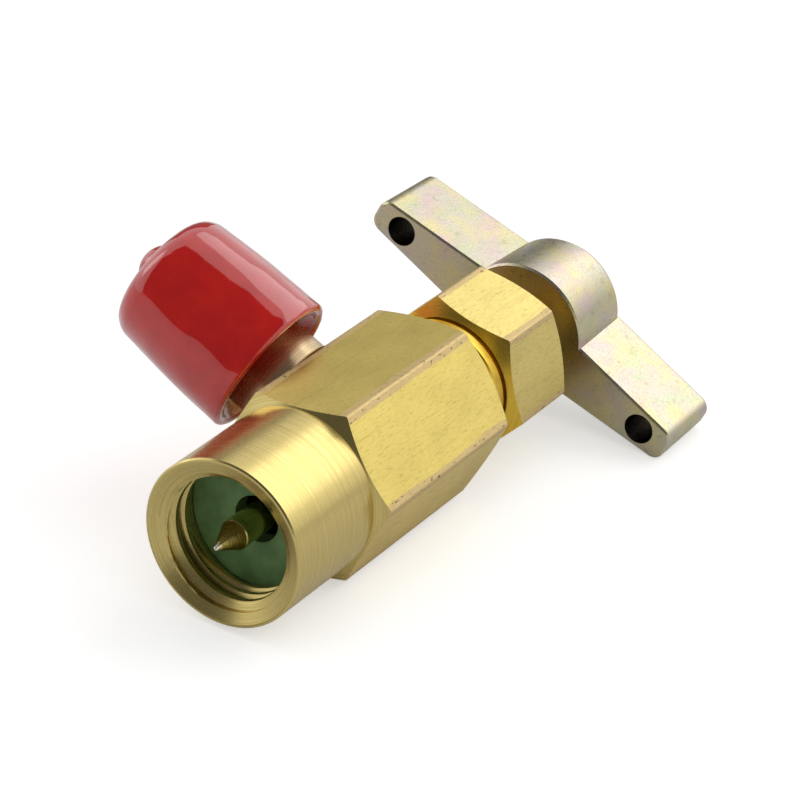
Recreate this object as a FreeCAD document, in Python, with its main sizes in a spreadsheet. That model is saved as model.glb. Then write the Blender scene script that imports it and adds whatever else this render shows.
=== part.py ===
import FreeCAD, Part
import math
import os
import re
import Sketcher

# Refrigerant can tap: a needle valve turned from hexagonal brass bar. Its threaded mouth
# screws on a can, a hose goes on the capped side port, and a T-handle drives the needle.
# Millimetres. Each sub-part is drawn about its own +Z, the axis that it was turned on.
# The main axis starts at the centre of the mouth and runs to the handle.

Vector = FreeCAD.Vector
doc = FreeCAD.newDocument("CanTap")
sizes = doc.addObject("Spreadsheet::Sheet", "Sizes")

VALUES = {
    # How the tap lies: the turn of the side port from the row's +X round the main axis
    "lying_roll": 205,
    # Valve body, from 17 mm hexagonal bar
    "bar_flats": 17,
    "bar_edge_round": 0.35,
    "body_length": 35.4,
    "sleeve_radius": 8.35,
    "sleeve_length": 12.45,
    "chamfer_angle": 30,
    "rear_face_radius": 8.3,
    "mouth_radius": 8.0,
    "rim_break": 0.15,
    # Can thread M14, drawn plain at its major radius
    "can_thread_radius": 7.0,
    "countersink_depth": 0.5,
    "mouth_depth": 7.6,
    "needle_bore_radius": 2.5,
    "chamber_start": 20,
    "chamber_radius": 4.6,
    "bonnet_hole_start": 29,
    "bonnet_hole_radius": 6.92,
    # Can gasket
    "gasket_front": 5.7,
    "gasket_radius": 6.95,
    "gasket_hole_radius": 2.33,
    # Side port, a quarter inch flare nipple brazed into a flat of the bar
    "port_along": 23.25,
    "port_seat": 5.5,
    "port_spigot_radius": 4.0,
    "port_neck_radius": 4.87,
    "port_thread_start": 13,
    "port_thread_radius": 5.5,
    "port_thread_end": 22.8,
    "port_thread_chamfer": 0.7,
    "port_nose_end": 24.4,
    "port_nose_radius": 4.5,
    "port_lip_radius": 3.0,
    "port_bore_radius": 2.4,
    "braze_leg": 0.3,
    # Bonnet, from 15 mm hexagonal bar
    "bonnet_flats": 15,
    "bonnet_turn": 18.8,
    "bonnet_edge_round": 0.25,
    "bonnet_nose": 30,
    "bonnet_shank_radius": 6.9,
    "bonnet_lead": 0.4,
    "bonnet_core_radius": 6.3,
    "bonnet_hex_start": 39.4,
    "bonnet_face_radius": 6.9,
    "bonnet_length_end": 49.5,
    "bonnet_back_radius": 7.25,
    "bonnet_bore_radius": 4.5,
    "bonnet_bore_end": 45,
    "stem_hole_radius": 4.0,
    "stem_hole_chamfer": 0.5,
    # Seal between the bonnet's nose and the body
    "seal_inner_radius": 5.0,
    "seal_outer_radius": 6.85,
    # Stem and its sealing ring
    "stem_nose": 25,
    "stem_neck_radius": 3.2,
    "stem_lead": 0.6,
    "land_start": 33,
    "land_end": 37,
    "land_radius": 4.4,
    "groove_half_width": 0.9,
    "groove_radius": 3.0,
    "ring_section_radius": 0.72,
    "ring_radius": 3.74,
    "stem_thread_radius": 3.95,
    "tang_side": 5.4,
    "rivet_start": 62,
    "rivet_root_radius": 3.2,
    "rivet_radius": 3.8,
    "rivet_lip_rise": 0.63,
    "rivet_flat_radius": 3.3,
    "rivet_rise": 0.9,
    "rivet_crown": 1.05,
    # Piercing needle
    "needle_tip": -1.13,
    "needle_point_radius": 0.2,
    "needle_point_length": 0.12,
    "needle_cone_end": 1.91,
    "needle_cone_radius": 1.42,
    "needle_shank_start": 2.01,
    "needle_radius": 1.5,
    "needle_end": 31,
    # T-handle, die-cast
    "handle_front": 53.9,
    "handle_depth": 9.1,
    "handle_turn": -1.8,
    "boss_radius": 7.04,
    "boss_draft": 2.2,
    "wing_span": 38.4,
    "wing_draft": 1.0,
    "wing_root_half": 3.55,
    "wing_tip_half": 1.75,
    "wing_tip_round": 1.3,
    "wing_hole_radius": 1.55,
    "wing_hole_offset": 15.8,
    "handle_front_break": 0.2,
    "handle_back_round": 0.5,
    "boss_back_round": 0.7,
    "tang_slack": 0.04,
    "recess_mouth_radius": 4.1,
    # Dust cap, dip-moulded
    "cap_rim": 11.33,
    "cap_end": 26.4,
    "cap_rim_radius": 7.6,
    "cap_waist": 17.4,
    "cap_waist_radius": 7.45,
    "cap_shoulder_radius": 7.15,
    "cap_shoulder_round": 2.3,
    "cap_mouth_radius": 6.15,
    "cap_mouth_depth": 1.8,
    "cap_bore_radius": 5.65,
    "cap_bore_end": 25.0,
    "cap_nub_radius": 1.9,
    "cap_nub_neck": 0.35,
    "cap_nub_crown_radius": 1.1,
    "cap_nub_shoulder": 1.0,
    "cap_nub_rise": 1.35,
}


def fill_sheet():
    """Put every driving value in the sheet under its own name."""
    for row, (word, value) in enumerate(VALUES.items(), start=1):
        sizes.set("A%d" % row, word)
        sizes.set("B%d" % row, str(value))
        sizes.setAlias("B%d" % row, word)
    doc.recompute()


def bound(text):
    """Turn the names in a formula into references to the sheet."""
    return re.sub(r"[a-z_]+", lambda word: linked(word.group()), text)


def linked(word):
    return "Sizes." + word if word in VALUES else word


def number(text):
    """The present value of a formula."""
    return float(sizes.evalExpression(bound(text)))


def along_axis(start="0"):
    """The main axis lies along the row's +Y, rolled to where the tap comes to rest."""
    roll = FreeCAD.Rotation(Vector(0, 0, 1), number("lying_roll"))
    level = FreeCAD.Rotation(Vector(1, 0, 0), -90)
    turned = FreeCAD.Placement(Vector(0, 0, 0), level.multiply(roll))
    lifted = FreeCAD.Placement(Vector(0, 0, number(start)), FreeCAD.Rotation())
    return turned.multiply(lifted)


def along_port():
    """The side port's axis crosses the main axis and leaves through a flat of the bar."""
    tip_over = FreeCAD.Placement(Vector(0, 0, 0), FreeCAD.Rotation(Vector(0, 1, 0), 90))
    return along_axis("port_along").multiply(tip_over)


def new_body(name, placement):
    body = doc.addObject("PartDesign::Body", name)
    body.Label = name
    body.Placement = placement
    return body


def plane_of(body, role):
    return [item for item in body.Origin.OriginFeatures if item.Role == role][0]


def attach(item, body, role, height="0", turn="0"):
    """Lay a sketch or a prism on one of its body's own planes."""
    item.AttachmentSupport = (plane_of(body, role), [""])
    item.MapMode = "FlatFace"
    spin = FreeCAD.Rotation(Vector(0, 0, 1), number(turn))
    item.AttachmentOffset = FreeCAD.Placement(Vector(0, 0, number(height)), spin)
    item.setExpression(".AttachmentOffset.Base.z", bound(height))


def pin_point(sketch, line, axis, formula):
    """Hold the start of a line at a distance that the sheet gives."""
    value = number(formula)
    if value == 0:
        side = -2 if axis == "DistanceX" else -1
        sketch.addConstraint(Sketcher.Constraint("PointOnObject", line, 1, side))
        return
    index = sketch.addConstraint(Sketcher.Constraint(axis, -1, 1, line, 1, value))
    sketch.setExpression("Constraints[%d]" % index, bound(formula))


def outline_sketch(body, name, corners, role="XZ_Plane"):
    """A closed outline of straight lines, each corner given by two formulas."""
    sketch = body.newObject("Sketcher::SketchObject", name + "Outline")
    attach(sketch, body, role)
    points = [Vector(number(across), number(up), 0) for across, up in corners]
    count = len(points)
    for line in range(count):
        sketch.addGeometry(Part.LineSegment(points[line], points[(line + 1) % count]), False)
    for line, (across, up) in enumerate(corners):
        sketch.addConstraint(Sketcher.Constraint("Coincident", line, 2, (line + 1) % count, 1))
        pin_point(sketch, line, "DistanceX", across)
        pin_point(sketch, line, "DistanceY", up)
    return sketch


def turned(body, name, corners, kind="PartDesign::Revolution"):
    """Turn an outline of (radius, height) corners about the body's +Z."""
    sketch = outline_sketch(body, name, corners)
    feature = body.newObject(kind, name)
    feature.Profile = sketch
    feature.ReferenceAxis = (sketch, ["V_Axis"])
    feature.Angle = 360
    doc.recompute()
    return feature


def turned_away(body, name, corners):
    """Cut what a lathe takes off."""
    return turned(body, name, corners, "PartDesign::Groove")


def hexagonal_bar(body, name, flats, start, end, turn):
    """A length of hexagonal bar along the body's +Z."""
    bar = body.newObject("PartDesign::AdditivePrism", name)
    bar.Polygon = 6
    attach(bar, body, "XY_Plane", start, turn)
    bar.setExpression("Circumradius", bound("%s / 2 / cos(30)" % flats))
    bar.setExpression("Height", bound("%s - %s" % (end, start)))
    doc.recompute()
    return bar


def circle_sketch(body, name, role, spots, height="0"):
    """Circles, each given by formulas for its centre and radius."""
    sketch = body.newObject("Sketcher::SketchObject", name + "Outline")
    attach(sketch, body, role, height)
    for index, (across, up, radius) in enumerate(spots):
        centre = Vector(number(across), number(up), 0)
        ring = Part.Circle(centre, Vector(0, 0, 1), number(radius))
        sketch.addGeometry(ring, False)
        size = sketch.addConstraint(Sketcher.Constraint("Radius", index, number(radius)))
        sketch.setExpression("Constraints[%d]" % size, bound(radius))
        for axis, formula in (("DistanceX", across), ("DistanceY", up)):
            if number(formula) == 0:
                side = -2 if axis == "DistanceX" else -1
                sketch.addConstraint(Sketcher.Constraint("PointOnObject", index, 3, side))
                continue
            place = Sketcher.Constraint(axis, -1, 1, index, 3, number(formula))
            spot = sketch.addConstraint(place)
            sketch.setExpression("Constraints[%d]" % spot, bound(formula))
    return sketch


def edges_that(feature, test):
    """The names of a feature's edges that pass a test."""
    return ["Edge%d" % (index + 1) for index, edge in enumerate(feature.Shape.Edges) if test(edge)]


def is_ring(edge, radius, height):
    """A full circle about the body's +Z."""
    if not isinstance(edge.Curve, Part.Circle):
        return False
    near_axis = math.hypot(edge.Curve.Center.x, edge.Curve.Center.y) < 0.01
    right_size = abs(edge.Curve.Radius - radius) < 0.02
    return near_axis and right_size and abs(edge.Curve.Center.z - height) < 0.02


def edge_break(body, name, feature, size, test):
    """Chamfer the edges that pass a test."""
    chamfer = body.newObject("PartDesign::Chamfer", name)
    chamfer.Base = (feature, edges_that(feature, test))
    chamfer.setExpression("Size", bound(size))
    doc.recompute()
    return chamfer


def in_level(edge, height):
    """An edge that lies in one plane across the body's +Z."""
    box = edge.BoundBox
    return max(abs(box.ZMin - height), abs(box.ZMax - height)) < 0.01


def rounded(body, name, feature, radius, test):
    """Round the edges that pass a test."""
    fillet = body.newObject("PartDesign::Fillet", name)
    fillet.Base = (feature, edges_that(feature, test))
    fillet.setExpression("Radius", bound(radius))
    doc.recompute()
    return fillet


def valve_body():
    body = new_body("valve_body", along_axis())
    bar = hexagonal_bar(body, "BodyBar", "bar_flats", "0", "body_length", "chamfer_angle")
    length = number("body_length")
    rounded(body, "BarEdges", bar, "bar_edge_round", lambda edge: abs(edge.Length - length) < 0.01)
    # The sleeve and the chamfer behind it are turned from the bar
    turned_away(body, "Sleeve", [
        ("sleeve_radius - rim_break", "-1"),
        ("sleeve_radius - rim_break", "0"),
        ("sleeve_radius", "rim_break"),
        ("sleeve_radius", "sleeve_length"),
        ("bar_flats", "sleeve_length + (bar_flats - sleeve_radius) * tan(chamfer_angle)"),
        ("bar_flats", "-1"),
    ])
    turned_away(body, "RearChamfer", [
        ("rear_face_radius", "body_length"),
        ("bar_flats", "body_length - (bar_flats - rear_face_radius) * tan(chamfer_angle)"),
        ("bar_flats", "body_length + 1"),
        ("rear_face_radius", "body_length + 1"),
    ])
    # One stepped bore: mouth, needle bore, gas chamber and the bonnet's threaded hole
    turned_away(body, "Bore", [
        ("0", "-1"),
        ("mouth_radius", "-1"),
        ("mouth_radius", "0"),
        ("can_thread_radius", "countersink_depth"),
        ("can_thread_radius", "mouth_depth"),
        ("needle_bore_radius", "mouth_depth"),
        ("needle_bore_radius", "chamber_start"),
        ("chamber_radius", "chamber_start"),
        ("chamber_radius", "bonnet_hole_start"),
        ("bonnet_hole_radius", "bonnet_hole_start"),
        ("bonnet_hole_radius", "body_length + 1"),
        ("0", "body_length + 1"),
    ])
    # The port's seat and gas hole are drilled through the flat that faces +X
    for name, radius, start in (("PortSeat", "port_spigot_radius", "port_seat"),
                                ("GasHole", "port_bore_radius", "0")):
        sketch = circle_sketch(body, name, "YZ_Plane", [("0", "port_along", radius)], start)
        drilled = body.newObject("PartDesign::Pocket", name)
        drilled.Profile = sketch
        drilled.setExpression("Length", bound("bar_flats"))
        drilled.Reversed = True
        doc.recompute()


def can_gasket():
    body = new_body("can_gasket", along_axis())
    turned(body, "GasketDisc", [
        ("gasket_hole_radius", "gasket_front"),
        ("gasket_radius", "gasket_front"),
        ("gasket_radius", "mouth_depth"),
        ("gasket_hole_radius", "mouth_depth"),
    ])


def side_port():
    body = new_body("side_port", along_port())
    turned(body, "PortBlank", [
        ("port_bore_radius", "port_seat"),
        ("port_spigot_radius", "port_seat"),
        ("port_spigot_radius", "bar_flats / 2"),
        ("port_neck_radius + braze_leg", "bar_flats / 2"),
        ("port_neck_radius", "bar_flats / 2 + braze_leg"),
        ("port_neck_radius", "port_thread_start"),
        ("port_thread_radius", "port_thread_start + port_thread_chamfer"),
        ("port_thread_radius", "port_thread_end - port_thread_chamfer"),
        ("port_nose_radius", "port_thread_end"),
        ("port_lip_radius", "port_nose_end"),
        ("port_bore_radius", "port_nose_end"),
    ])


def bonnet():
    body = new_body("bonnet", along_axis())
    bar = hexagonal_bar(body, "BonnetBar", "bonnet_flats", "bonnet_hex_start", "bonnet_length_end",
                        "bonnet_turn + chamfer_angle")
    length = number("bonnet_length_end - bonnet_hex_start")
    rounded(body, "BonnetEdges", bar, "bonnet_edge_round",
            lambda edge: abs(edge.Length - length) < 0.01 and not in_level(edge, edge.BoundBox.ZMin))
    turned_away(body, "BonnetChamfers", [
        ("bonnet_face_radius", "bonnet_hex_start - 1"),
        ("bonnet_face_radius", "bonnet_hex_start"),
        ("bonnet_flats", "bonnet_hex_start + (bonnet_flats - bonnet_face_radius) * tan(chamfer_angle)"),
        ("bonnet_flats", "bonnet_hex_start - 1"),
    ])
    turned_away(body, "BonnetBackChamfer", [
        ("bonnet_back_radius", "bonnet_length_end"),
        ("bonnet_flats", "bonnet_length_end - (bonnet_flats - bonnet_back_radius) * tan(chamfer_angle)"),
        ("bonnet_flats", "bonnet_length_end + 1"),
        ("bonnet_back_radius", "bonnet_length_end + 1"),
    ])
    # The shank is full size in the body's hole, and the bare neck is at the thread's root
    turned(body, "BonnetShank", [
        ("0", "bonnet_nose"),
        ("bonnet_shank_radius - bonnet_lead", "bonnet_nose"),
        ("bonnet_shank_radius", "bonnet_nose + bonnet_lead"),
        ("bonnet_shank_radius", "body_length"),
        ("bonnet_core_radius", "body_length"),
        ("bonnet_core_radius", "bonnet_hex_start + 1"),
        ("0", "bonnet_hex_start + 1"),
    ])
    turned_away(body, "BonnetBore", [
        ("0", "bonnet_nose - 1"),
        ("bonnet_bore_radius", "bonnet_nose - 1"),
        ("bonnet_bore_radius", "bonnet_bore_end"),
        ("stem_hole_radius", "bonnet_bore_end"),
        ("stem_hole_radius", "bonnet_length_end - stem_hole_chamfer"),
        ("stem_hole_radius + stem_hole_chamfer", "bonnet_length_end"),
        ("stem_hole_radius + stem_hole_chamfer", "bonnet_length_end + 1"),
        ("0", "bonnet_length_end + 1"),
    ])


def bonnet_seal():
    body = new_body("bonnet_seal", along_axis())
    turned(body, "SealRing", [
        ("seal_inner_radius", "bonnet_hole_start"),
        ("seal_outer_radius", "bonnet_hole_start"),
        ("seal_outer_radius", "bonnet_nose"),
        ("seal_inner_radius", "bonnet_nose"),
    ])


def stem_o_ring():
    body = new_body("stem_o_ring", along_axis("(land_start + land_end) / 2"))
    # The round section is drawn with eight flats, which keeps this hidden ring light
    spread = "ring_section_radius * cos(22.5)"
    narrow = "ring_section_radius * sin(22.5)"
    turned(body, "RingSection", [
        ("ring_radius + " + spread, "-" + narrow),
        ("ring_radius + " + spread, narrow),
        ("ring_radius + " + narrow, spread),
        ("ring_radius - " + narrow, spread),
        ("ring_radius - " + spread, narrow),
        ("ring_radius - " + spread, "-" + narrow),
        ("ring_radius - " + narrow, "-" + spread),
        ("ring_radius + " + narrow, "-" + spread),
    ])


def valve_stem():
    body = new_body("valve_stem", along_axis())
    turned(body, "StemBlank", [
        ("0", "stem_nose"),
        ("stem_neck_radius - stem_lead", "stem_nose"),
        ("stem_neck_radius", "stem_nose + stem_lead"),
        ("stem_neck_radius", "land_start"),
        ("land_radius", "land_start"),
        ("land_radius", "land_end"),
        ("stem_thread_radius", "land_end"),
        ("stem_thread_radius", "handle_front"),
        ("0", "handle_front"),
    ])
    turned_away(body, "RingGroove", [
        ("groove_radius", "(land_start + land_end) / 2 - groove_half_width"),
        ("land_radius + 1", "(land_start + land_end) / 2 - groove_half_width"),
        ("land_radius + 1", "(land_start + land_end) / 2 + groove_half_width"),
        ("groove_radius", "(land_start + land_end) / 2 + groove_half_width"),
    ])
    # A square tang carries the handle, and its end is peened into the handle's recess
    square = outline_sketch(body, "Tang", [
        ("-tang_side / 2", "-tang_side / 2"),
        ("tang_side / 2", "-tang_side / 2"),
        ("tang_side / 2", "tang_side / 2"),
        ("-tang_side / 2", "tang_side / 2"),
    ], "XY_Plane")
    attach(square, body, "XY_Plane", "handle_front", "handle_turn")
    tang = body.newObject("PartDesign::Pad", "Tang")
    tang.Profile = square
    tang.setExpression("Length", bound("rivet_start - handle_front"))
    doc.recompute()
    turned(body, "PeenedEnd", [
        ("0", "rivet_start"),
        ("rivet_root_radius", "rivet_start"),
        ("rivet_radius", "rivet_start + rivet_lip_rise"),
        ("rivet_flat_radius", "rivet_start + rivet_rise"),
        ("0", "rivet_start + rivet_crown"),
    ])
    turned_away(body, "NeedleSocket", [
        ("0", "stem_nose - 1"),
        ("needle_radius", "stem_nose - 1"),
        ("needle_radius", "needle_end"),
        ("0", "needle_end"),
    ])


def piercing_needle():
    body = new_body("piercing_needle", along_axis())
    turned(body, "NeedleBlank", [
        ("0", "needle_tip"),
        ("needle_point_radius", "needle_tip + needle_point_length"),
        ("needle_cone_radius", "needle_cone_end"),
        ("needle_radius", "needle_shank_start"),
        ("needle_radius", "needle_end"),
        ("0", "needle_end"),
    ])


def drafted(body, name, pad, angle):
    """Lean a pad's side faces in, as a die needs, from its face on the parting plane."""
    sides = []
    for index, face in enumerate(pad.Shape.Faces, start=1):
        normal = face.normalAt(0, 0)
        if abs(normal.z) < 0.01:
            sides.append("Face%d" % index)
        elif normal.z < 0:
            parting = "Face%d" % index
    draft = body.newObject("PartDesign::Draft", name)
    draft.Base = (pad, sides)
    draft.NeutralPlane = (pad, [parting])
    draft.setExpression("Angle", bound(angle))
    doc.recompute()
    return draft


def t_handle():
    body = new_body("t_handle", along_axis())
    # Both wings are one bar that narrows to its tips, widest where it leaves the die
    plan = outline_sketch(body, "Wings", [
        ("-wing_span / 2", "-wing_tip_half"),
        ("0", "-wing_root_half"),
        ("wing_span / 2", "-wing_tip_half"),
        ("wing_span / 2", "wing_tip_half"),
        ("0", "wing_root_half"),
        ("-wing_span / 2", "wing_tip_half"),
    ], "XY_Plane")
    attach(plan, body, "XY_Plane", "handle_front", "handle_turn")
    wings = body.newObject("PartDesign::Pad", "Wings")
    wings.Profile = plan
    wings.setExpression("Length", bound("handle_depth"))
    doc.recompute()
    leaning = drafted(body, "WingDraft", wings, "wing_draft")
    reach = number("wing_span / 2")

    def at_tip(edge):
        ends = [math.hypot(vertex.X, vertex.Y) for vertex in edge.Vertexes]
        levels = [vertex.Z for vertex in edge.Vertexes]
        return min(ends) > reach - 1 and max(levels) - min(levels) > 1
    tips = rounded(body, "TipRounds", leaning, "wing_tip_round", at_tip)
    front = number("handle_front")
    back = number("handle_front + handle_depth")
    backed = rounded(body, "BackRound", tips, "handle_back_round", lambda edge: in_level(edge, back))
    edge_break(body, "FrontBreak", backed, "handle_front_break", lambda edge: in_level(edge, front))
    turned(body, "Boss", [
        ("0", "handle_front"),
        ("boss_radius - handle_front_break", "handle_front"),
        ("boss_radius", "handle_front + handle_front_break"),
        ("boss_radius - (handle_depth - boss_back_round) * tan(boss_draft)",
         "handle_front + handle_depth - boss_back_round"),
        ("boss_radius - handle_depth * tan(boss_draft) - boss_back_round * 0.3",
         "handle_front + handle_depth - boss_back_round * 0.3"),
        ("boss_radius - handle_depth * tan(boss_draft) - boss_back_round",
         "handle_front + handle_depth"),
        ("0", "handle_front + handle_depth"),
    ])
    holes = circle_sketch(body, "WingHoles", "XY_Plane", [
        ("wing_hole_offset", "0", "wing_hole_radius"),
        ("-wing_hole_offset", "0", "wing_hole_radius"),
    ])
    attach(holes, body, "XY_Plane", "handle_front", "handle_turn")
    drilled = body.newObject("PartDesign::Pocket", "WingHoles")
    drilled.Profile = holes
    drilled.Reversed = True
    drilled.setExpression("Length", bound("handle_depth + 1"))
    doc.recompute()
    # The tang's square hole and the recess that the peened end fills
    square = outline_sketch(body, "TangHole", [
        ("-tang_side / 2 - tang_slack", "-tang_side / 2 - tang_slack"),
        ("tang_side / 2 + tang_slack", "-tang_side / 2 - tang_slack"),
        ("tang_side / 2 + tang_slack", "tang_side / 2 + tang_slack"),
        ("-tang_side / 2 - tang_slack", "tang_side / 2 + tang_slack"),
    ], "XY_Plane")
    attach(square, body, "XY_Plane", "handle_front", "handle_turn")
    broached = body.newObject("PartDesign::Pocket", "TangHole")
    broached.Profile = square
    broached.Reversed = True
    broached.setExpression("Length", bound("handle_depth + 1"))
    doc.recompute()
    turned_away(body, "RivetRecess", [
        ("0", "rivet_start"),
        ("rivet_root_radius + tang_slack", "rivet_start"),
        ("rivet_radius + tang_slack", "rivet_start + rivet_lip_rise"),
        ("recess_mouth_radius", "handle_front + handle_depth"),
        ("recess_mouth_radius", "handle_front + handle_depth + 1"),
        ("0", "handle_front + handle_depth + 1"),
    ])


def dust_cap():
    body = new_body("dust_cap", along_port())
    blank = turned(body, "CapSkin", [
        ("0", "cap_rim"),
        ("cap_rim_radius", "cap_rim"),
        ("cap_waist_radius", "cap_waist"),
        ("cap_shoulder_radius", "cap_end"),
        ("0", "cap_end"),
    ])
    shoulder = number("cap_shoulder_radius")
    end = number("cap_end")
    rounded(body, "CapShoulder", blank, "cap_shoulder_round",
            lambda edge: is_ring(edge, shoulder, end))
    # The last drop that ran off the dipped form stands as a nub
    turned(body, "CapNub", [
        ("0", "cap_end - 1"),
        ("cap_nub_radius", "cap_end - 1"),
        ("cap_nub_radius", "cap_end + cap_nub_neck"),
        ("cap_nub_crown_radius", "cap_end + cap_nub_shoulder"),
        ("0", "cap_end + cap_nub_rise"),
    ])
    turned_away(body, "CapHollow", [
        ("0", "cap_rim - 1"),
        ("cap_mouth_radius", "cap_rim - 1"),
        ("cap_mouth_radius", "cap_rim"),
        ("cap_bore_radius", "cap_rim + cap_mouth_depth"),
        ("cap_bore_radius", "cap_bore_end"),
        ("0", "cap_bore_end"),
    ])


def write_parts(names):
    """Check every object, then write one file for each sub-part."""
    failed = [item.Label for item in doc.Objects if {"Invalid", "Error"} & set(item.State)]
    if failed:
        raise RuntimeError("failed objects: " + ", ".join(failed))
    os.makedirs("parts", exist_ok=True)
    for name in names:
        shape = doc.getObject(name).Shape
        if shape.isNull() or not shape.isValid() or len(shape.Solids) != 1:
            raise RuntimeError("bad shape: " + name)
        shape.exportStep("parts/%s.step" % name)
        print("%-16s %9.2f mm3 %4d faces" % (name, shape.Volume, len(shape.Faces)))


fill_sheet()
valve_body()
can_gasket()
side_port()
bonnet()
bonnet_seal()
stem_o_ring()
valve_stem()
piercing_needle()
t_handle()
dust_cap()
doc.recompute()
write_parts([
    "valve_body", "can_gasket", "side_port", "bonnet", "bonnet_seal",
    "stem_o_ring", "valve_stem", "piercing_needle", "t_handle", "dust_cap",
])
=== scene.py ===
import math

import bmesh
import bpy
from mathutils import Matrix, Vector, noise


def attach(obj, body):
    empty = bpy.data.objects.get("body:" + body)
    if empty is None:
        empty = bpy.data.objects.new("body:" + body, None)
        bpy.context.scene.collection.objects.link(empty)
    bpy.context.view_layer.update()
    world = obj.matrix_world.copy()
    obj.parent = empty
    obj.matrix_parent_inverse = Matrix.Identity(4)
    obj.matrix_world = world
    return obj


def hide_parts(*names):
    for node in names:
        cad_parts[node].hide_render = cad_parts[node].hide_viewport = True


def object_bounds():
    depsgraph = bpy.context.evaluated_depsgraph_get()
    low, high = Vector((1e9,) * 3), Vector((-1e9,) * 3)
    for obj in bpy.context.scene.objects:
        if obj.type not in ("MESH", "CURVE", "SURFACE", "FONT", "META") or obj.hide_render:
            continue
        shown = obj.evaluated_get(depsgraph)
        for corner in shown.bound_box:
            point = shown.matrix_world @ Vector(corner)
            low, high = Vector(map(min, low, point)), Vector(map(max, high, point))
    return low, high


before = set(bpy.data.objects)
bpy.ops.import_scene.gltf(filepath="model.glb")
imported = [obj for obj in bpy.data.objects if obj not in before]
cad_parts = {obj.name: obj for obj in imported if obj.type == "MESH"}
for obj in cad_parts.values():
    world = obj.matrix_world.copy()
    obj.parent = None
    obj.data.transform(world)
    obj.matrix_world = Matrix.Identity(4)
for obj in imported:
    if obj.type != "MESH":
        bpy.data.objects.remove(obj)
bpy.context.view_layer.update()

# Valve body: one length of 17 mm drawn hexagonal brass bar, turned at the mouth and bored
# through. The flats keep the drawn skin with its lengthwise scratches, and the sleeve, the
# chamfers and the bores show the lathe's fine rings.
MM = 0.001
FLAT_ELEVATION = math.radians(25)
BAR_FLATS = 17
SLEEVE_LENGTH = 12.45
port_side = Vector((-math.cos(FLAT_ELEVATION), 0, math.sin(FLAT_ELEVATION)))
upward = Vector((math.sin(FLAT_ELEVATION), 0, math.cos(FLAT_ELEVATION)))
inward = Vector((0, 1, 0))
main_axis = Matrix((port_side, upward, inward)).transposed().to_4x4() @ Matrix.Scale(MM, 4)


def srgb(code):
    """A colour written as hex, in the linear values that a shader takes."""
    shares = [int(code[place:place + 2], 16) / 255 for place in (1, 3, 5)]
    return [c / 12.92 if c <= 0.04045 else ((c + 0.055) / 1.055) ** 2.4 for c in shares] + [1]


def add(tree, kind, settings, inputs):
    """Add a node with its settings and its inputs, each a value or another node's output. A
    colour mix takes its share at input 0 and its two colours at inputs 6 and 7."""
    item = tree.nodes.new("ShaderNode" + kind)
    for word, value in settings.items():
        setattr(item, word, value)
    for socket, value in inputs.items():
        if isinstance(value, bpy.types.NodeSocket):
            tree.links.new(value, item.inputs[socket])
        else:
            item.inputs[socket].default_value = value
    return item.outputs


def new_finish(name, constants):
    """A material with one principled shader, whose even values are set on its own sockets."""
    material = bpy.data.materials.new(name)
    material.use_nodes = True
    tree = material.node_tree
    shader = tree.nodes["Principled BSDF"]
    for socket, value in constants.items():
        shader.inputs[socket].default_value = value
    return material, tree, shader


def round_axis(tree, origin=(0, 0, 0), tip_over=(0, 0, 0)):
    """Height along a turned piece's axis, distance from it and angle round it, in metres."""
    place = add(tree, "TexCoord", {}, {})["Object"]
    moved = add(tree, "VectorMath", {"operation": "SUBTRACT"}, {0: place, 1: origin})[0]
    stood = add(tree, "VectorRotate", {"rotation_type": "EULER_XYZ"}, {
        "Vector": moved, "Rotation": tip_over,
    })[0]
    x, y, z = add(tree, "SeparateXYZ", {}, {0: stood})
    flat = add(tree, "CombineXYZ", {}, {0: x, 2: z})[0]
    distance = add(tree, "VectorMath", {"operation": "LENGTH"}, {0: flat})[1]
    angle = add(tree, "Math", {"operation": "ARCTAN2"}, {0: z, 1: x})[0]
    return stood, y, distance, angle


def streaks(tree, scales, place, detail=3.0):
    """Noise stretched along one direction, as a scratch or a tool mark is."""
    stretched = add(tree, "VectorMath", {"operation": "MULTIPLY"}, {0: place, 1: scales})[0]
    return add(tree, "TexNoise", {}, {"Vector": stretched, "Scale": 1.0, "Detail": detail})[0]


def lathe_marks(tree, height, distance, angle, spacing):
    """Fine rings left by the tool. Real ones are 0.05 mm apart, too fine to show here, so
    they are drawn wider."""
    rings = add(tree, "CombineXYZ", {}, {0: angle, 1: height, 2: distance})[0]
    return streaks(tree, (0.35, 1 / spacing, 1 / spacing), rings, 2.0)


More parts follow.
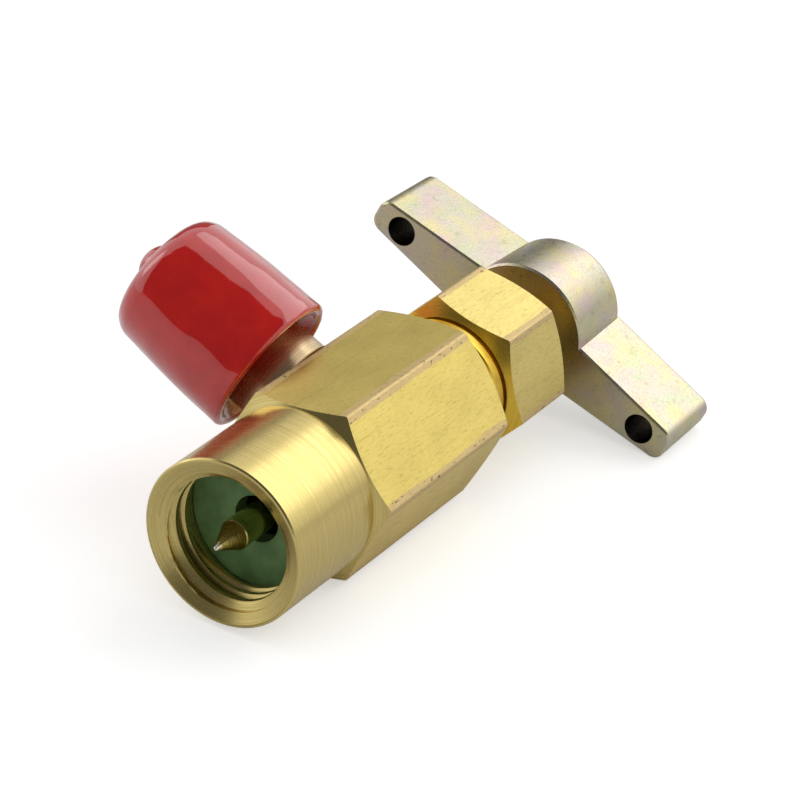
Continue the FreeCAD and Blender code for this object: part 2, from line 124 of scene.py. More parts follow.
def brass(name, fresh, bright, dull, worn=srgb("#CDB48A"), mark=srgb("#5A4A2C"), corner_radius=1.0,
          turned_to=1.0, origin=(0, 0, 0), tip_over=(0, 0, 0)):
    """Free-machining brass. Drawn flats beyond turned_to are satin, with lengthwise scratches,
    small dark nicks and paler worn corners, and turned faces are brighter with fine rings."""
    material, tree, shader = new_finish(name, {"Metallic": 1.0})
    stood, height, distance, angle = round_axis(tree, origin, tip_over)
    normal = add(tree, "TexCoord", {}, {})["Normal"]
    along = add(tree, "SeparateXYZ", {}, {0: normal})[1]
    level = add(tree, "Math", {"operation": "ABSOLUTE"}, {0: along})[0]
    upright = add(tree, "MapRange", {}, {
        "Value": level, "From Min": 0.05, "From Max": 0.1, "To Min": 1.0, "To Max": 0.0,
    })[0]
    beyond = add(tree, "MapRange", {}, {
        "Value": height, "From Min": turned_to, "From Max": turned_to + 0.1 * MM,
    })[0]
    drawn = add(tree, "Math", {"operation": "MULTIPLY"}, {0: upright, 1: beyond})[0]
    # Drawing scratches 0.1 mm wide. Most are a millimetre long, a few run further.
    dashes = streaks(tree, (1 / (0.1 * MM), 1 / (0.9 * MM), 1 / (0.1 * MM)), stood, 3.0)
    runs = streaks(tree, (1 / (0.3 * MM), 1 / (9 * MM), 1 / (0.3 * MM)), stood, 2.0)
    grain = streaks(tree, (1 / (0.14 * MM),) * 3, stood, 2.0)
    handled = streaks(tree, (1 / (3 * MM), 1 / (5 * MM), 1 / (3 * MM)), stood, 3.0)
    nicks = streaks(tree, (1 / (0.25 * MM), 1 / (0.55 * MM), 1 / (0.25 * MM)), stood, 4.0)
    rings = lathe_marks(tree, height, distance, angle, 0.16 * MM)
    lines = add(tree, "Mix", {}, {0: drawn, 2: rings, 3: dashes})[0]
    handled_share = add(tree, "MapRange", {}, {
        "Value": handled, "From Min": 0.3, "From Max": 0.75, "To Max": 0.25,
    })[0]
    skin = add(tree, "Mix", {"data_type": "RGBA"}, {0: handled_share, 6: fresh, 7: dull})[2]
    dash_share = add(tree, "MapRange", {}, {
        "Value": dashes, "From Min": 0.55, "From Max": 0.8, "To Max": 0.8,
    })[0]
    scored = add(tree, "Mix", {"data_type": "RGBA"}, {0: dash_share, 6: skin, 7: dull})[2]
    run_share = add(tree, "MapRange", {}, {
        "Value": runs, "From Min": 0.6, "From Max": 0.75, "To Max": 0.3,
    })[0]
    ruled = add(tree, "Mix", {"data_type": "RGBA"}, {0: run_share, 6: scored, 7: dull})[2]
    grain_share = add(tree, "MapRange", {}, {
        "Value": grain, "From Min": 0.58, "From Max": 0.85, "To Max": 0.5,
    })[0]
    speckled = add(tree, "Mix", {"data_type": "RGBA"}, {0: grain_share, 6: ruled, 7: dull})[2]
    uneven = add(tree, "MapRange", {}, {
        "Value": runs, "From Min": 0.3, "From Max": 0.7, "To Min": -0.09 * MM, "To Max": 0.09 * MM,
    })[0]
    reach = add(tree, "Math", {"operation": "ADD"}, {0: distance, 1: uneven})[0]
    edge = add(tree, "MapRange", {}, {
        "Value": reach, "From Min": corner_radius, "From Max": corner_radius + 0.09 * MM,
    })[0]
    worn_share = add(tree, "Math", {"operation": "MULTIPLY"}, {0: edge, 1: 0.75})[0]
    cornered = add(tree, "Mix", {"data_type": "RGBA"}, {0: worn_share, 6: speckled, 7: worn})[2]
    nick = add(tree, "MapRange", {}, {"Value": nicks, "From Min": 0.62, "From Max": 0.7})[0]
    near_edge = add(tree, "MapRange", {}, {
        "Value": edge, "From Min": 0.0, "From Max": 1.0, "To Min": 0.12, "To Max": 0.85,
    })[0]
    nick_share = add(tree, "Math", {"operation": "MULTIPLY"}, {0: nick, 1: near_edge})[0]
    nicked = add(tree, "Mix", {"data_type": "RGBA"}, {0: nick_share, 6: cornered, 7: mark})[2]
    ring_share = add(tree, "MapRange", {}, {
        "Value": rings, "From Min": 0.4, "From Max": 0.8, "To Max": 0.5,
    })[0]
    turned = add(tree, "Mix", {"data_type": "RGBA"}, {0: ring_share, 6: bright, 7: dull})[2]
    colour = add(tree, "Mix", {"data_type": "RGBA"}, {0: drawn, 6: turned, 7: nicked})[2]
    tree.links.new(colour, shader.inputs["Base Color"])
    even = add(tree, "MapRange", {}, {
        "Value": dashes, "From Min": 0.3, "From Max": 0.7, "To Min": 0.3, "To Max": 0.42,
    })[0]
    rubbed = add(tree, "Math", {"operation": "MULTIPLY"}, {0: edge, 1: 0.2})[0]
    satin = add(tree, "Math", {"operation": "ADD"}, {0: even, 1: rubbed})[0]
    smooth = add(tree, "MapRange", {}, {
        "Value": rings, "From Min": 0.3, "From Max": 0.7, "To Min": 0.22, "To Max": 0.32,
    })[0]
    roughness = add(tree, "Mix", {}, {0: drawn, 2: smooth, 3: satin})[0]
    tree.links.new(roughness, shader.inputs["Roughness"])
    bump = add(tree, "Bump", {}, {"Height": lines, "Strength": 0.25, "Distance": 0.015 * MM})[0]
    tree.links.new(bump, shader.inputs["Normal"])
    return material


def dress(item, material):
    """Give a piece one material."""
    item.data.materials.clear()
    item.data.materials.append(material)


WELD_DISTANCE = 1e-4
SHARP_CORNER = math.radians(32)


def new_piece(name, mesh_source, place, material, body):
    """Turn a bmesh in millimetres into a piece that rides on a body."""
    bmesh.ops.remove_doubles(mesh_source, verts=mesh_source.verts, dist=WELD_DISTANCE)
    bmesh.ops.dissolve_degenerate(mesh_source, edges=mesh_source.edges, dist=WELD_DISTANCE)
    bmesh.ops.recalc_face_normals(mesh_source, faces=mesh_source.faces)
    mesh = bpy.data.meshes.new(name)
    mesh_source.transform(place)
    mesh_source.to_mesh(mesh)
    mesh_source.free()
    mesh.shade_smooth()
    mesh.set_sharp_from_angle(angle=SHARP_CORNER)
    piece = bpy.data.objects.new(name, mesh)
    bpy.context.scene.collection.objects.link(piece)
    dress(piece, material)
    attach(piece, body)
    return piece


drawn_brass = brass("drawn_hexagonal_brass", srgb("#E6CF76"), srgb("#D6C27E"), srgb("#A68F45"),
                    corner_radius=9.44 * MM, turned_to=SLEEVE_LENGTH * MM)
dress(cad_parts["valve_body"], drawn_brass)

# Can thread: the single-point thread cut in the mouth, M14 by 1.5. It is brass like the body,
# and its first turn fades out in the countersink, where the tool left a ragged edge.
MOUTH_RADIUS = 8.0
CAN_THREAD_ROOT = 7.0
CAN_THREAD_CREST = 6.19
CAN_PITCH = 1.5
COUNTERSINK_SLOPE = 2.0
STEPS_PER_TURN = 96
THREAD_FLANK = math.radians(30)
ROOT_SHARE = 0.88
BURR_HEIGHT = 0.09


def thread_ridge(source, pitch, start, turns, root, crest, phase=0.0, limit=None, fade=0.3):
    """One closed ridge wound on a helix. It is sunk a little in what carries it, and fades out
    over the last part of a turn at both ends. A crest inside the root makes an inner thread."""
    sink = 0.04 if crest > root else -0.04
    depth = abs(crest - root)
    base_half = pitch / 2 * ROOT_SHARE
    crest_half = max(base_half - depth * math.tan(THREAD_FLANK), pitch / 16)
    section = [(-base_half, 0), (-crest_half - 0.05, 0.93), (-crest_half + 0.05, 1),
               (crest_half - 0.05, 1), (crest_half + 0.05, 0.93), (base_half, 0)]
    count = int(turns * STEPS_PER_TURN)
    rows = []
    for step in range(count + 1):
        turn = step / STEPS_PER_TURN
        rise = min(1.0, turn / fade, (turns - turn) / fade)
        height = start + pitch * turn
        angle = 2 * math.pi * (turn + phase)
        row = []
        for offset, share in section:
            radius = root - sink if share == 0 else root + (crest - root) * share * rise
            level = height + offset
            if limit:
                radius, level = limit(radius, level, angle)
            row.append(source.verts.new((radius * math.cos(angle), radius * math.sin(angle), level)))
        rows.append(row)
    for first, second in zip(rows, rows[1:]):
        for place in range(len(section)):
            following = (place + 1) % len(section)
            source.faces.new((first[place], second[place], second[following], first[following]))
    source.faces.new(rows[0])
    source.faces.new(list(reversed(rows[-1])))


def in_countersink(radius, height, angle):
    """Cut the ridge by the countersink's cone, with the ragged burr that the tool turned up."""
    held = max(height, 0.05)
    cone = MOUTH_RADIUS - COUNTERSINK_SLOPE * held
    if cone > CAN_THREAD_ROOT:
        return cone + 0.05, held
    ragged = BURR_HEIGHT * noise.noise(Vector((20 * math.cos(angle), 20 * math.sin(angle), 3 * held)))
    return max(radius, cone + ragged - 0.02), held


mouth_turns = bmesh.new()
thread_ridge(mouth_turns, CAN_PITCH, -0.7, 3.8, CAN_THREAD_ROOT, CAN_THREAD_CREST, 0.1,
             in_countersink)
new_piece("can_thread_turns", mouth_turns, main_axis, drawn_brass, "valve")

# Can gasket: a disc punched from dark green rubber sheet and pressed to the bottom of the
# mouth. Its face is matt, a little dusty, with a soft grain.
material, tree, shader = new_finish("green_nitrile_rubber", {"Roughness": 0.55})
stood, height, distance, angle = round_axis(tree)
grain = streaks(tree, (1 / (0.25 * MM),) * 3, stood, 4.0)
patches = streaks(tree, (1 / (2.2 * MM),) * 3, stood, 2.0)
patch_share = add(tree, "MapRange", {}, {"Value": patches, "From Min": 0.3, "From Max": 0.7})[0]
colour = add(tree, "Mix", {"data_type": "RGBA"}, {
    0: patch_share, 6: srgb("#5A7A46"), 7: srgb("#749A5E"),
})[2]
tree.links.new(colour, shader.inputs["Base Color"])
bump = add(tree, "Bump", {}, {"Height": grain, "Strength": 0.4, "Distance": 0.04 * MM})[0]
tree.links.new(bump, shader.inputs["Normal"])
dress(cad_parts["can_gasket"], material)

# Side port: a quarter inch flare nipple, turned from brass and brazed into a flat of the body.
# The heat left its neck pinkish. Its thread, 7/16-20, shows when the cap is off.
PORT_ALONG = 23.25
PORT_SEAT = 5.5
PORT_SPIGOT = 4.0
PORT_NECK = 4.87
PORT_PITCH = 1.27
PORT_THREAD_START = 13.0
PORT_THREAD_END = 22.8
PORT_THREAD_RADIUS = 5.5
PORT_NOSE_END = 24.4
PORT_BORE = 2.4
port_axis = (Matrix.Translation((0, PORT_ALONG * MM, 0))
             @ Matrix((upward, inward, port_side)).transposed().to_4x4()
             @ Matrix.Scale(MM, 4))


def turn_outline(source, outline, steps=96):
    """Spin a closed outline of (radius, height) corners round the axis."""
    rings = []
    for step in range(steps):
        angle = 2 * math.pi * step / steps
        rings.append([source.verts.new((radius * math.cos(angle), radius * math.sin(angle), height))
                      for radius, height in outline])
    for step in range(steps):
        here, there = rings[step], rings[(step + 1) % steps]
        for place in range(len(outline)):
            following = (place + 1) % len(outline)
            source.faces.new((here[place], there[place], there[following], here[following]))


brazed_brass = brass("turned_brass_heated_by_brazing", srgb("#DCC49A"), srgb("#DCC49A"),
                     srgb("#8E6A42"), origin=(0, PORT_ALONG * MM, 0),
                     tip_over=(0, -FLAT_ELEVATION, -math.pi / 2))
nipple = bmesh.new()
turn_outline(nipple, [
    (PORT_BORE, PORT_SEAT), (PORT_SPIGOT, PORT_SEAT), (PORT_SPIGOT, BAR_FLATS / 2),
    (PORT_NECK + 0.3, BAR_FLATS / 2), (PORT_NECK + 0.1, BAR_FLATS / 2 + 0.08),
    (PORT_NECK, BAR_FLATS / 2 + 0.3), (PORT_NECK, PORT_THREAD_END - 0.1),
    (4.5, PORT_THREAD_END + 0.05), (3.0, PORT_NOSE_END), (PORT_BORE + 0.15, PORT_NOSE_END),
    (PORT_BORE, PORT_NOSE_END - 0.15),
])
thread_ridge(nipple, PORT_PITCH, PORT_THREAD_START + 0.5, 7.0, PORT_NECK, PORT_THREAD_RADIUS - 0.02)
port = new_piece("side_port_nipple", nipple, port_axis, brazed_brass, "valve")
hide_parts("side_port")

# Bonnet: 15 mm hexagonal brass bar with a threaded shank, screwed into the body. Its flats are
# drawn and its chamfers are bright from the tool. Two turns of its thread and the wider collar
# where the thread runs out show in the gap.
BONNET_CORE = 6.3
BONNET_PITCH = 1.0
BODY_LENGTH = 35.4
BONNET_START = 39.4
COLLAR_START = 37.65
COLLAR_END = 38.98
COLLAR_RADIUS = 6.84
COLLAR_FOOT = 6.2
BONNET_THREAD_RADIUS = 6.8
bonnet_brass = brass("drawn_bonnet_brass", srgb("#E2CE80"), srgb("#E3BE48"), srgb("#A68F45"),
                     corner_radius=8.33 * MM, turned_to=BONNET_START * MM)
dress(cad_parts["bonnet"], bonnet_brass)
neck_turns = bmesh.new()
thread_ridge(neck_turns, BONNET_PITCH, BODY_LENGTH - 0.4, 2.2, BONNET_CORE, BONNET_THREAD_RADIUS, 0.3)
turn_outline(neck_turns, [
    (COLLAR_FOOT, COLLAR_START), (6.72, COLLAR_START + 0.06), (COLLAR_RADIUS, COLLAR_START + 0.2),
    (COLLAR_RADIUS, COLLAR_END - 0.15), (6.74, COLLAR_END), (COLLAR_FOOT, COLLAR_END + 0.05),
])
new_piece("bonnet_thread_turns", neck_turns, main_axis, bonnet_brass, "valve")

# Bonnet seal: a flat ring turned from white plastic, squeezed under the bonnet's nose.
material, tree, shader = new_finish("turned_white_plastic", {"Roughness": 0.5})
stood, height, distance, angle = round_axis(tree)
rings = lathe_marks(tree, height, distance, angle, 0.2 * MM)
colour = add(tree, "Mix", {"data_type": "RGBA"}, {0: rings, 6: srgb("#E6E3DA"), 7: srgb("#CFCBBF")})[2]
tree.links.new(colour, shader.inputs["Base Color"])
dress(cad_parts["bonnet_seal"], material)

# Sealing ring: a moulded black rubber ring that runs in the stem's groove, wet with grease.
material, tree, shader = new_finish("greased_black_rubber", {"Roughness": 0.3})
stood, height, distance, angle = round_axis(tree)
film = streaks(tree, (1 / (0.8 * MM),) * 3, stood, 3.0)
colour = add(tree, "Mix", {"data_type": "RGBA"}, {0: film, 6: srgb("#0C0C0C"), 7: srgb("#24231F")})[2]
tree.links.new(colour, shader.inputs["Base Color"])
dress(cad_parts["stem_o_ring"], material)

# Valve stem: turned brass with an M8 thread that drives it, and a square tang that carries the
# handle. Its end is peened over in the handle's recess with a hammer.
STEM_CORE = 3.35
STEM_THREAD_RADIUS = 3.95
STEM_PITCH = 1.25
LAND_START = 33.0
LAND_END = 37.0
HANDLE_FRONT = 53.9
RIVET_START = 62.0
TANG_HALF = 2.7
HANDLE_TURN = math.radians(-1.8)
stem_brass = brass("turned_stem_brass", srgb("#D6BC6C"), srgb("#D6BC6C"), srgb("#9C8448"))
stem = bmesh.new()
groove = (LAND_START + LAND_END) / 2
turn_outline(stem, [
    (1.5, 25.0), (2.6, 25.0), (3.2, 25.6), (3.2, LAND_START), (4.4, LAND_START),
    (4.4, groove - 0.9), (3.0, groove - 0.9), (3.0, groove + 0.9), (4.4, groove + 0.9),
    (4.4, LAND_END), (STEM_CORE, LAND_END), (STEM_CORE, HANDLE_FRONT - 0.9),
    (3.9, HANDLE_FRONT - 0.5), (3.9, HANDLE_FRONT), (0.02, HANDLE_FRONT), (0.02, 31.0), (1.5, 31.0),
])
thread_ridge(stem, STEM_PITCH, LAND_END + 0.7, 12.0, STEM_CORE, STEM_THREAD_RADIUS)
tang = bmesh.ops.create_cube(stem, size=1.0)["verts"]
bmesh.ops.scale(stem, vec=(2 * TANG_HALF, 2 * TANG_HALF, RIVET_START - HANDLE_FRONT + 0.1), verts=tang)
bmesh.ops.rotate(stem, verts=tang, matrix=Matrix.Rotation(HANDLE_TURN, 3, "Z"))
bmesh.ops.translate(stem, verts=tang, vec=(0, 0, (RIVET_START + HANDLE_FRONT) / 2))
turn_outline(stem, [
    (0.02, RIVET_START), (3.2, RIVET_START), (3.7, RIVET_START + 0.45), (3.8, RIVET_START + 0.65),
    (3.65, RIVET_START + 0.85), (3.1, RIVET_START + 0.93), (1.6, RIVET_START + 1.0),
    (0.02, RIVET_START + 1.05),
])
stem_piece = new_piece("valve_stem_turned", stem, main_axis, stem_brass, "spindle")
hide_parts("valve_stem")

# Piercing needle: a hard steel pin pressed in the stem. Its shank is ground smooth and its
# point is a turned cone with fine steps and a bright tip.
material, tree, shader = new_finish("ground_steel", {"Metallic": 1.0})
stood, height, distance, angle = round_axis(tree)
rings = lathe_marks(tree, height, distance, angle, 0.14 * MM)
body_colour = add(tree, "Mix", {"data_type": "RGBA"}, {
    0: rings, 6: srgb("#D2C77A"), 7: srgb("#9C9150"),
})[2]
tip = add(tree, "MapRange", {}, {"Value": height, "From Min": -0.9 * MM, "From Max": -0.45 * MM})[0]
colour = add(tree, "Mix", {"data_type": "RGBA"}, {0: tip, 6: srgb("#F4EFE0"), 7: body_colour})[2]
tree.links.new(colour, shader.inputs["Base Color"])
polish = add(tree, "MapRange", {}, {
    "Value": rings, "From Min": 0.3, "From Max": 0.7, "To Min": 0.16, "To Max": 0.3,
})[0]
tree.links.new(polish, shader.inputs["Roughness"])
bump = add(tree, "Bump", {}, {"Height": rings, "Strength": 0.5, "Distance": 0.03 * MM})[0]
tree.links.new(bump, shader.inputs["Normal"])
dress(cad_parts["piercing_needle"], material)

# T-handle: a zinc die-casting, yellow passivated. The thin film gives patches of pink, green
# and straw on pale silver, and the skin has a fine blasted grain.
WING_TILT = -(FLAT_ELEVATION + HANDLE_TURN)
HOLE_OFFSET = 15.8 * MM
HOLE_RADIUS = 1.55 * MM
GREEN_SHIFT = (0.05, 0.02, 0.03)
STRAW_SHIFT = (0.01, 0.07, 0.05)
material, tree, shader = new_finish("passivated_zinc_casting", {"Metallic": 1.0})
stood, height, distance, angle = round_axis(tree)
pink = streaks(tree, (1 / (2.6 * MM), 1 / (4.5 * MM), 1 / (2.6 * MM)), stood, 5.0)
shifted = add(tree, "VectorMath", {"operation": "ADD"}, {0: stood, 1: GREEN_SHIFT})[0]
green = streaks(tree, (1 / (2.2 * MM), 1 / (3.6 * MM), 1 / (2.2 * MM)), shifted, 5.0)
turned_round = add(tree, "VectorMath", {"operation": "ADD"}, {0: stood, 1: STRAW_SHIFT})[0]
straw = streaks(tree, (1 / (3.0 * MM),) * 3, turned_round, 5.0)
straw_share = add(tree, "MapRange", {}, {"Value": straw, "From Min": 0.4, "From Max": 0.62})[0]
silver = add(tree, "Mix", {"data_type": "RGBA"}, {
    0: straw_share, 6: srgb("#C3BBAB"), 7: srgb("#CEC394"),
})[2]
pink_share = add(tree, "MapRange", {}, {
    "Value": pink, "From Min": 0.5, "From Max": 0.7, "To Max": 0.75,
})[0]
rosy = add(tree, "Mix", {"data_type": "RGBA"}, {0: pink_share, 6: silver, 7: srgb("#C9AFB0")})[2]
green_share = add(tree, "MapRange", {}, {
    "Value": green, "From Min": 0.52, "From Max": 0.7, "To Max": 0.7,
})[0]
film = add(tree, "Mix", {"data_type": "RGBA"}, {0: green_share, 6: rosy, 7: srgb("#B7C09A")})[2]
grain = streaks(tree, (1 / (0.22 * MM),) * 3, stood, 5.0)
stain = streaks(tree, (1 / (1.1 * MM),) * 3, stood, 4.0)
grain_share = add(tree, "MapRange", {}, {
    "Value": grain, "From Min": 0.55, "From Max": 0.8, "To Max": 0.4,
})[0]
speckled = add(tree, "Mix", {"data_type": "RGBA"}, {0: grain_share, 6: film, 7: srgb("#7C7666")})[2]
stain_share = add(tree, "MapRange", {}, {
    "Value": stain, "From Min": 0.6, "From Max": 0.75, "To Max": 0.45,
})[0]
stained = add(tree, "Mix", {"data_type": "RGBA"}, {0: stain_share, 6: speckled, 7: srgb("#8C8268")})[2]
roll = (0, WING_TILT, 0)
level = add(tree, "VectorRotate", {"rotation_type": "EULER_XYZ"}, {"Vector": stood, "Rotation": roll})[0]
x, y, z = add(tree, "SeparateXYZ", {}, {0: level})
aside = add(tree, "Math", {"operation": "SUBTRACT"}, {
    0: add(tree, "Math", {"operation": "ABSOLUTE"}, {0: x})[0], 1: HOLE_OFFSET,
})[0]
from_hole = add(tree, "VectorMath", {"operation": "LENGTH"}, {
    0: add(tree, "CombineXYZ", {}, {0: aside, 2: z})[0],
})[1]
# Painted shade: the wall of each wing's hole, and a thin ring round it, is painted dark brown where the
# hole's own shade falls.
painted_hole_shade_share = add(tree, "MapRange", {}, {
    "Value": from_hole, "From Min": HOLE_RADIUS + 0.01 * MM, "From Max": HOLE_RADIUS + 0.05 * MM,
    "To Min": 1.0, "To Max": 0.0,
})[0]
painted_hole_shade = add(tree, "Mix", {"data_type": "RGBA"}, {0: painted_hole_shade_share, 6: stained, 7: srgb("#40382C")})[2]
tree.links.new(painted_hole_shade, shader.inputs["Base Color"])
blasted = add(tree, "MapRange", {}, {
    "Value": grain, "From Min": 0.3, "From Max": 0.7, "To Min": 0.24, "To Max": 0.42,
})[0]
tree.links.new(blasted, shader.inputs["Roughness"])
bump = add(tree, "Bump", {}, {"Height": grain, "Strength": 0.5, "Distance": 0.05 * MM})[0]
tree.links.new(bump, shader.inputs["Normal"])
dress(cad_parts["t_handle"], material)

# Dust cap: red vinyl dipped on a former, which leaves a soft glossy skin, a round shoulder, a
# drip nub at the closed end and a wavy thickness. It is pushed over the port's thread.
CAP_RIM = 11.33
CAP_END = 26.04
CAP_MOUTH_RADIUS = 7.5
CAP_FAR_RADIUS = 7.0
CAP_SHOULDER = 2.38
NUB_RADIUS = 2.3
NUB_RISE = 1.7
vinyl, tree, shader = new_finish("dipped_red_vinyl", {
    "Roughness": 0.1, "IOR": 1.54, "Coat Weight": 1.0, "Coat Roughness": 0.04,
    "Subsurface Weight": 0.12, "Subsurface Radius": (0.004, 0.0006, 0.0004), "Subsurface Scale": 0.5,
})
stood, height, distance, angle = round_axis(
    tree, (0, PORT_ALONG * MM, 0), (0, -FLAT_ELEVATION, -math.pi / 2))
cloud = streaks(tree, (1 / (2.5 * MM),) * 3, stood, 3.0)
cloud_share = add(tree, "MapRange", {}, {"Value": cloud, "From Min": 0.35, "From Max": 0.7})[0]
colour = add(tree, "Mix", {"data_type": "RGBA"}, {
    0: cloud_share, 6: srgb("#C00602"), 7: srgb("#CE1204"),
})[2]
tree.links.new(colour, shader.inputs["Base Color"])
ripples = streaks(tree, (1 / (1.6 * MM),) * 3, stood, 1.0)
bump = add(tree, "Bump", {}, {"Height": ripples, "Strength": 0.15, "Distance": 0.08 * MM})[0]
tree.links.new(bump, shader.inputs["Normal"])


def arc(centre, radius, start, end, count):
    """Points on an arc, from one angle in degrees to another."""
    angles = [math.radians(start + (end - start) * share / count) for share in range(count + 1)]
    return [(centre[0] + radius * math.cos(a), centre[1] + radius * math.sin(a)) for a in angles]


def between(first, second, count):
    """Points on a straight line, without its ends."""
    return [(first[0] + (second[0] - first[0]) * place / count,
             first[1] + (second[1] - first[1]) * place / count) for place in range(1, count)]


hollow = [(0.02, 25.0), (5.0, 25.0), (5.65, 24.4), (5.65, 13.3), (5.8, 12.8), (6.2, 12.25),
          (6.45, 11.95), (6.54, 11.8)]
lip = arc((7.05, CAP_RIM + 0.5), 0.5, 190, 370, 10)
shoulder_centre = CAP_END - CAP_SHOULDER
skin = [(CAP_MOUTH_RADIUS, 13.0), (CAP_MOUTH_RADIUS - 0.02, 17.4), (CAP_FAR_RADIUS, shoulder_centre)]
dome = arc((CAP_FAR_RADIUS - CAP_SHOULDER, shoulder_centre), CAP_SHOULDER, 6, 84, 10)
top = [(3.6, CAP_END), (NUB_RADIUS + 0.2, CAP_END + 0.02), (NUB_RADIUS, CAP_END + 0.12)]
nub = [(radius * NUB_RADIUS, CAP_END + height * NUB_RISE)
       for radius, height in arc((0, 0), 1, 8, 88, 8)]
outline = []
for line in (hollow[:3], hollow[2:4], hollow[3:], lip, skin[:2], skin[1:], dome, top, nub):
    for corner in line[:-1]:
        outline.append(corner)
        following = line[line.index(corner) + 1]
        reach = math.dist(corner, following)
        outline += between(corner, following, max(1, round(reach / 1.0)))
outline.append(nub[-1])
outline.append((0.02, CAP_END + NUB_RISE))
dip = bmesh.new()
turn_outline(dip, outline, 128)
for vertex in dip.verts:
    x, y, z = vertex.co
    reach = math.hypot(x, y)
    spot = Vector((x, y, z))
    if reach > 6.4 or z > CAP_END - 0.5:
        swell = noise.noise(spot * 0.25) * 0.1 + noise.noise(spot * 0.6) * 0.035
        vertex.co.x *= 1 - abs(swell) / max(reach, 1)
        vertex.co.y *= 1 - abs(swell) / max(reach, 1)
    if z > CAP_END + 0.05:
        vertex.co.x += 0.1
cap = new_piece("dust_cap_vinyl", dip, port_axis, vinyl, "cap")
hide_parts("dust_cap")

# Studio: a pale floor that the tap lies on, with white paper all round, which shows white to
# the camera and in the metal, and soft lamps.
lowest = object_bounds()[0].z
floor_mesh = bpy.data.meshes.new("floor")
FLOOR_REACH = 4
floor_corners = [(x * FLOOR_REACH, y * FLOOR_REACH, lowest) for x, y in ((-1, -1), (1, -1), (1, 1), (-1, 1))]
floor_mesh.from_pydata(floor_corners, [], [(0, 1, 2, 3)])
floor = bpy.data.objects.new("floor", floor_mesh)
bpy.context.scene.collection.objects.link(floor)
FLOOR_LIFT = 0.5
FLOOR_GLOSSY_SHARE = 0.08
material, tree, shader = new_finish("white_paper", {"Roughness": 0.9})
shader.inputs["Base Color"].default_value = srgb("#E4E4E4")
path = add(tree, "LightPath", {}, {})
seen = add(tree, "Math", {"operation": "MAXIMUM"}, {
    0: path["Is Camera Ray"], 1: path["Is Transmission Ray"],
})[0]
mirrored = add(tree, "Math", {"operation": "MULTIPLY"}, {
    0: path["Is Glossy Ray"], 1: FLOOR_GLOSSY_SHARE,
})[0]
shown = add(tree, "Math", {"operation": "MAXIMUM"}, {0: seen, 1: mirrored})[0]
lift = add(tree, "Math", {"operation": "MULTIPLY"}, {0: shown, 1: FLOOR_LIFT})[0]
glow = add(tree, "Emission", {}, {"Color": (1, 1, 1, 1), "Strength": lift})[0]
both = add(tree, "AddShader", {}, {0: shader.outputs[0], 1: glow})[0]
tree.links.new(both, tree.nodes["Material Output"].inputs["Surface"])
dress(floor, material)

ROOM_LIGHT = 0.62
world = bpy.data.worlds.new("studio")
world.use_nodes = True
bpy.context.scene.world = world
tree = world.node_tree
path = add(tree, "LightPath", {}, {})
seen = add(tree, "Math", {"operation": "MAXIMUM"}, {
    0: path["Is Camera Ray"],
    1: add(tree, "Math", {"operation": "MAXIMUM"}, {
        0: path["Is Glossy Ray"], 1: path["Is Transmission Ray"],
    })[0],
})[0]
strength = add(tree, "MapRange", {}, {
    "Value": seen, "From Min": 0.0, "From Max": 1.0, "To Min": ROOM_LIGHT,
})[0]
tree.links.new(strength, tree.nodes["Background"].inputs["Strength"])
tree.nodes["Background"].inputs["Color"].default_value = (1, 1, 1, 1)
aim = Vector((0, 0.025, 0))


def set_up(item, direction, distance):
    """Stand a lamp or a card off the tap in a direction, square to it."""
    toward = Vector(direction).normalized()
    item.location = aim + toward * distance
    item.rotation_euler = toward.to_track_quat("Z", "Y").to_euler()
    bpy.context.scene.collection.objects.link(item)


def softbox(name, direction, distance, width, height, radiance):
    """A lamp behind a rectangle of white cloth, aimed at the tap."""
    data = bpy.data.lights.new(name, "AREA")
    data.shape = "RECTANGLE"
    data.size = width
    data.size_y = height
    data.energy = radiance * math.pi * width * height
    set_up(bpy.data.objects.new(name, data), direction, distance)


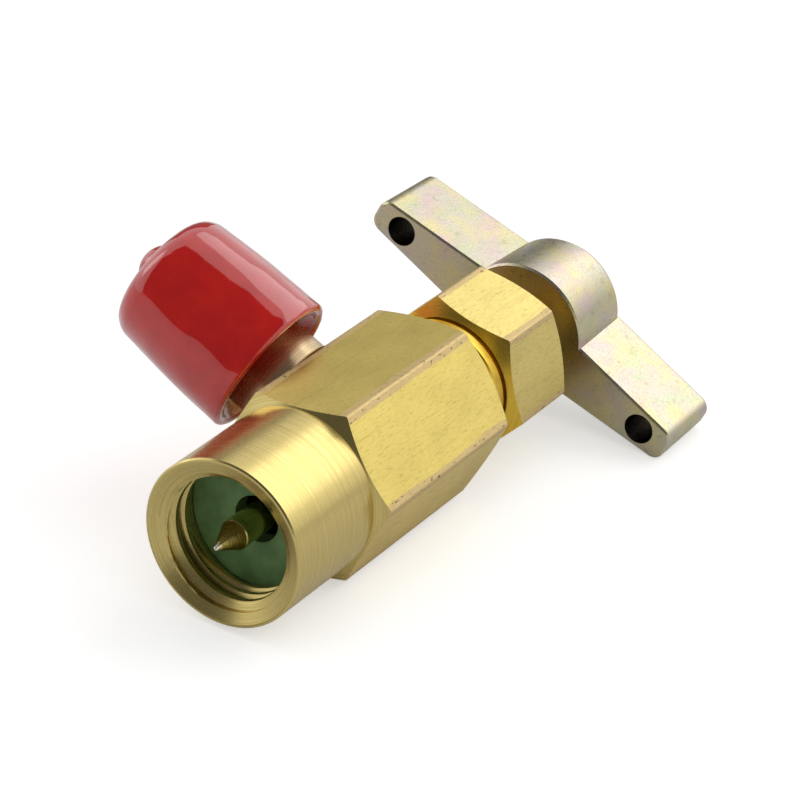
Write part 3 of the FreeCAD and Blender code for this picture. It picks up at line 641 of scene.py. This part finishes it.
def card(name, direction, distance, width, height, grey):
    """A grey card that only the polished faces see."""
    material, tree, shader = new_finish(name + "_paper", {"Roughness": 1.0})
    glow = add(tree, "Emission", {}, {"Color": (1, 1, 1, 1), "Strength": grey})[0]
    tree.links.new(glow, tree.nodes["Material Output"].inputs["Surface"])
    mesh = bpy.data.meshes.new(name)
    w, h = width / 2, height / 2
    mesh.from_pydata([(-w, -h, 0), (w, -h, 0), (w, h, 0), (-w, h, 0)], [], [(0, 1, 2, 3)])
    item = bpy.data.objects.new(name, mesh)
    set_up(item, direction, distance)
    item.visible_camera = False
    item.visible_diffuse = False
    item.visible_shadow = False
    dress(item, material)


softbox("back_softbox", (0.32, 0.66, 0.68), 0.7, 0.72, 0.52, 1.15)
softbox("left_softbox", (-0.88, -0.08, 0.48), 0.6, 0.16, 0.34, 1.6)
card("front_card", (0.1, -0.77, 0.63), 0.7, 1.5, 1.1, 0.12)
card("top_card", (0.22, -0.32, 0.92), 0.7, 0.7, 0.7, 0.12)
card("left_back_card", (-0.62, 0.75, 0.22), 0.8, 0.5, 0.4, 0.16)
card("right_card", (0.66, 0.75, 0.0), 0.7, 0.4, 0.14, 0.45)

# Camera: as the photograph was taken, level with the mouth's side and 29 degrees above.
CAMERA_PLACE = (0.153753, -0.250182, 0.176604)
CAMERA_AHEAD = Vector((-0.4213, 0.7700, -0.4799))
CAMERA_UP = Vector((-0.3142, 0.3720, 0.8737))
LENS = 171.5
PIXELS_PER_RADIAN = 3811
SLIDE = (1.4 / PIXELS_PER_RADIAN, -2.0 / PIXELS_PER_RADIAN)
camera_data = bpy.data.cameras.new("camera")
camera_data.lens = LENS
camera_data.sensor_width = 36
camera_data.clip_start = 0.01
camera = bpy.data.objects.new("camera", camera_data)
bpy.context.scene.collection.objects.link(camera)
right = CAMERA_AHEAD.cross(CAMERA_UP).normalized()
up = right.cross(CAMERA_AHEAD).normalized()
turn = Matrix((right, up, -CAMERA_AHEAD.normalized())).transposed().to_4x4()
swing = Matrix.Rotation(SLIDE[0], 4, up) @ Matrix.Rotation(-SLIDE[1], 4, right)
camera.matrix_world = Matrix.Translation(CAMERA_PLACE) @ swing @ turn
bpy.context.scene.camera = camera
bpy.context.scene.view_settings.view_transform = "Standard"
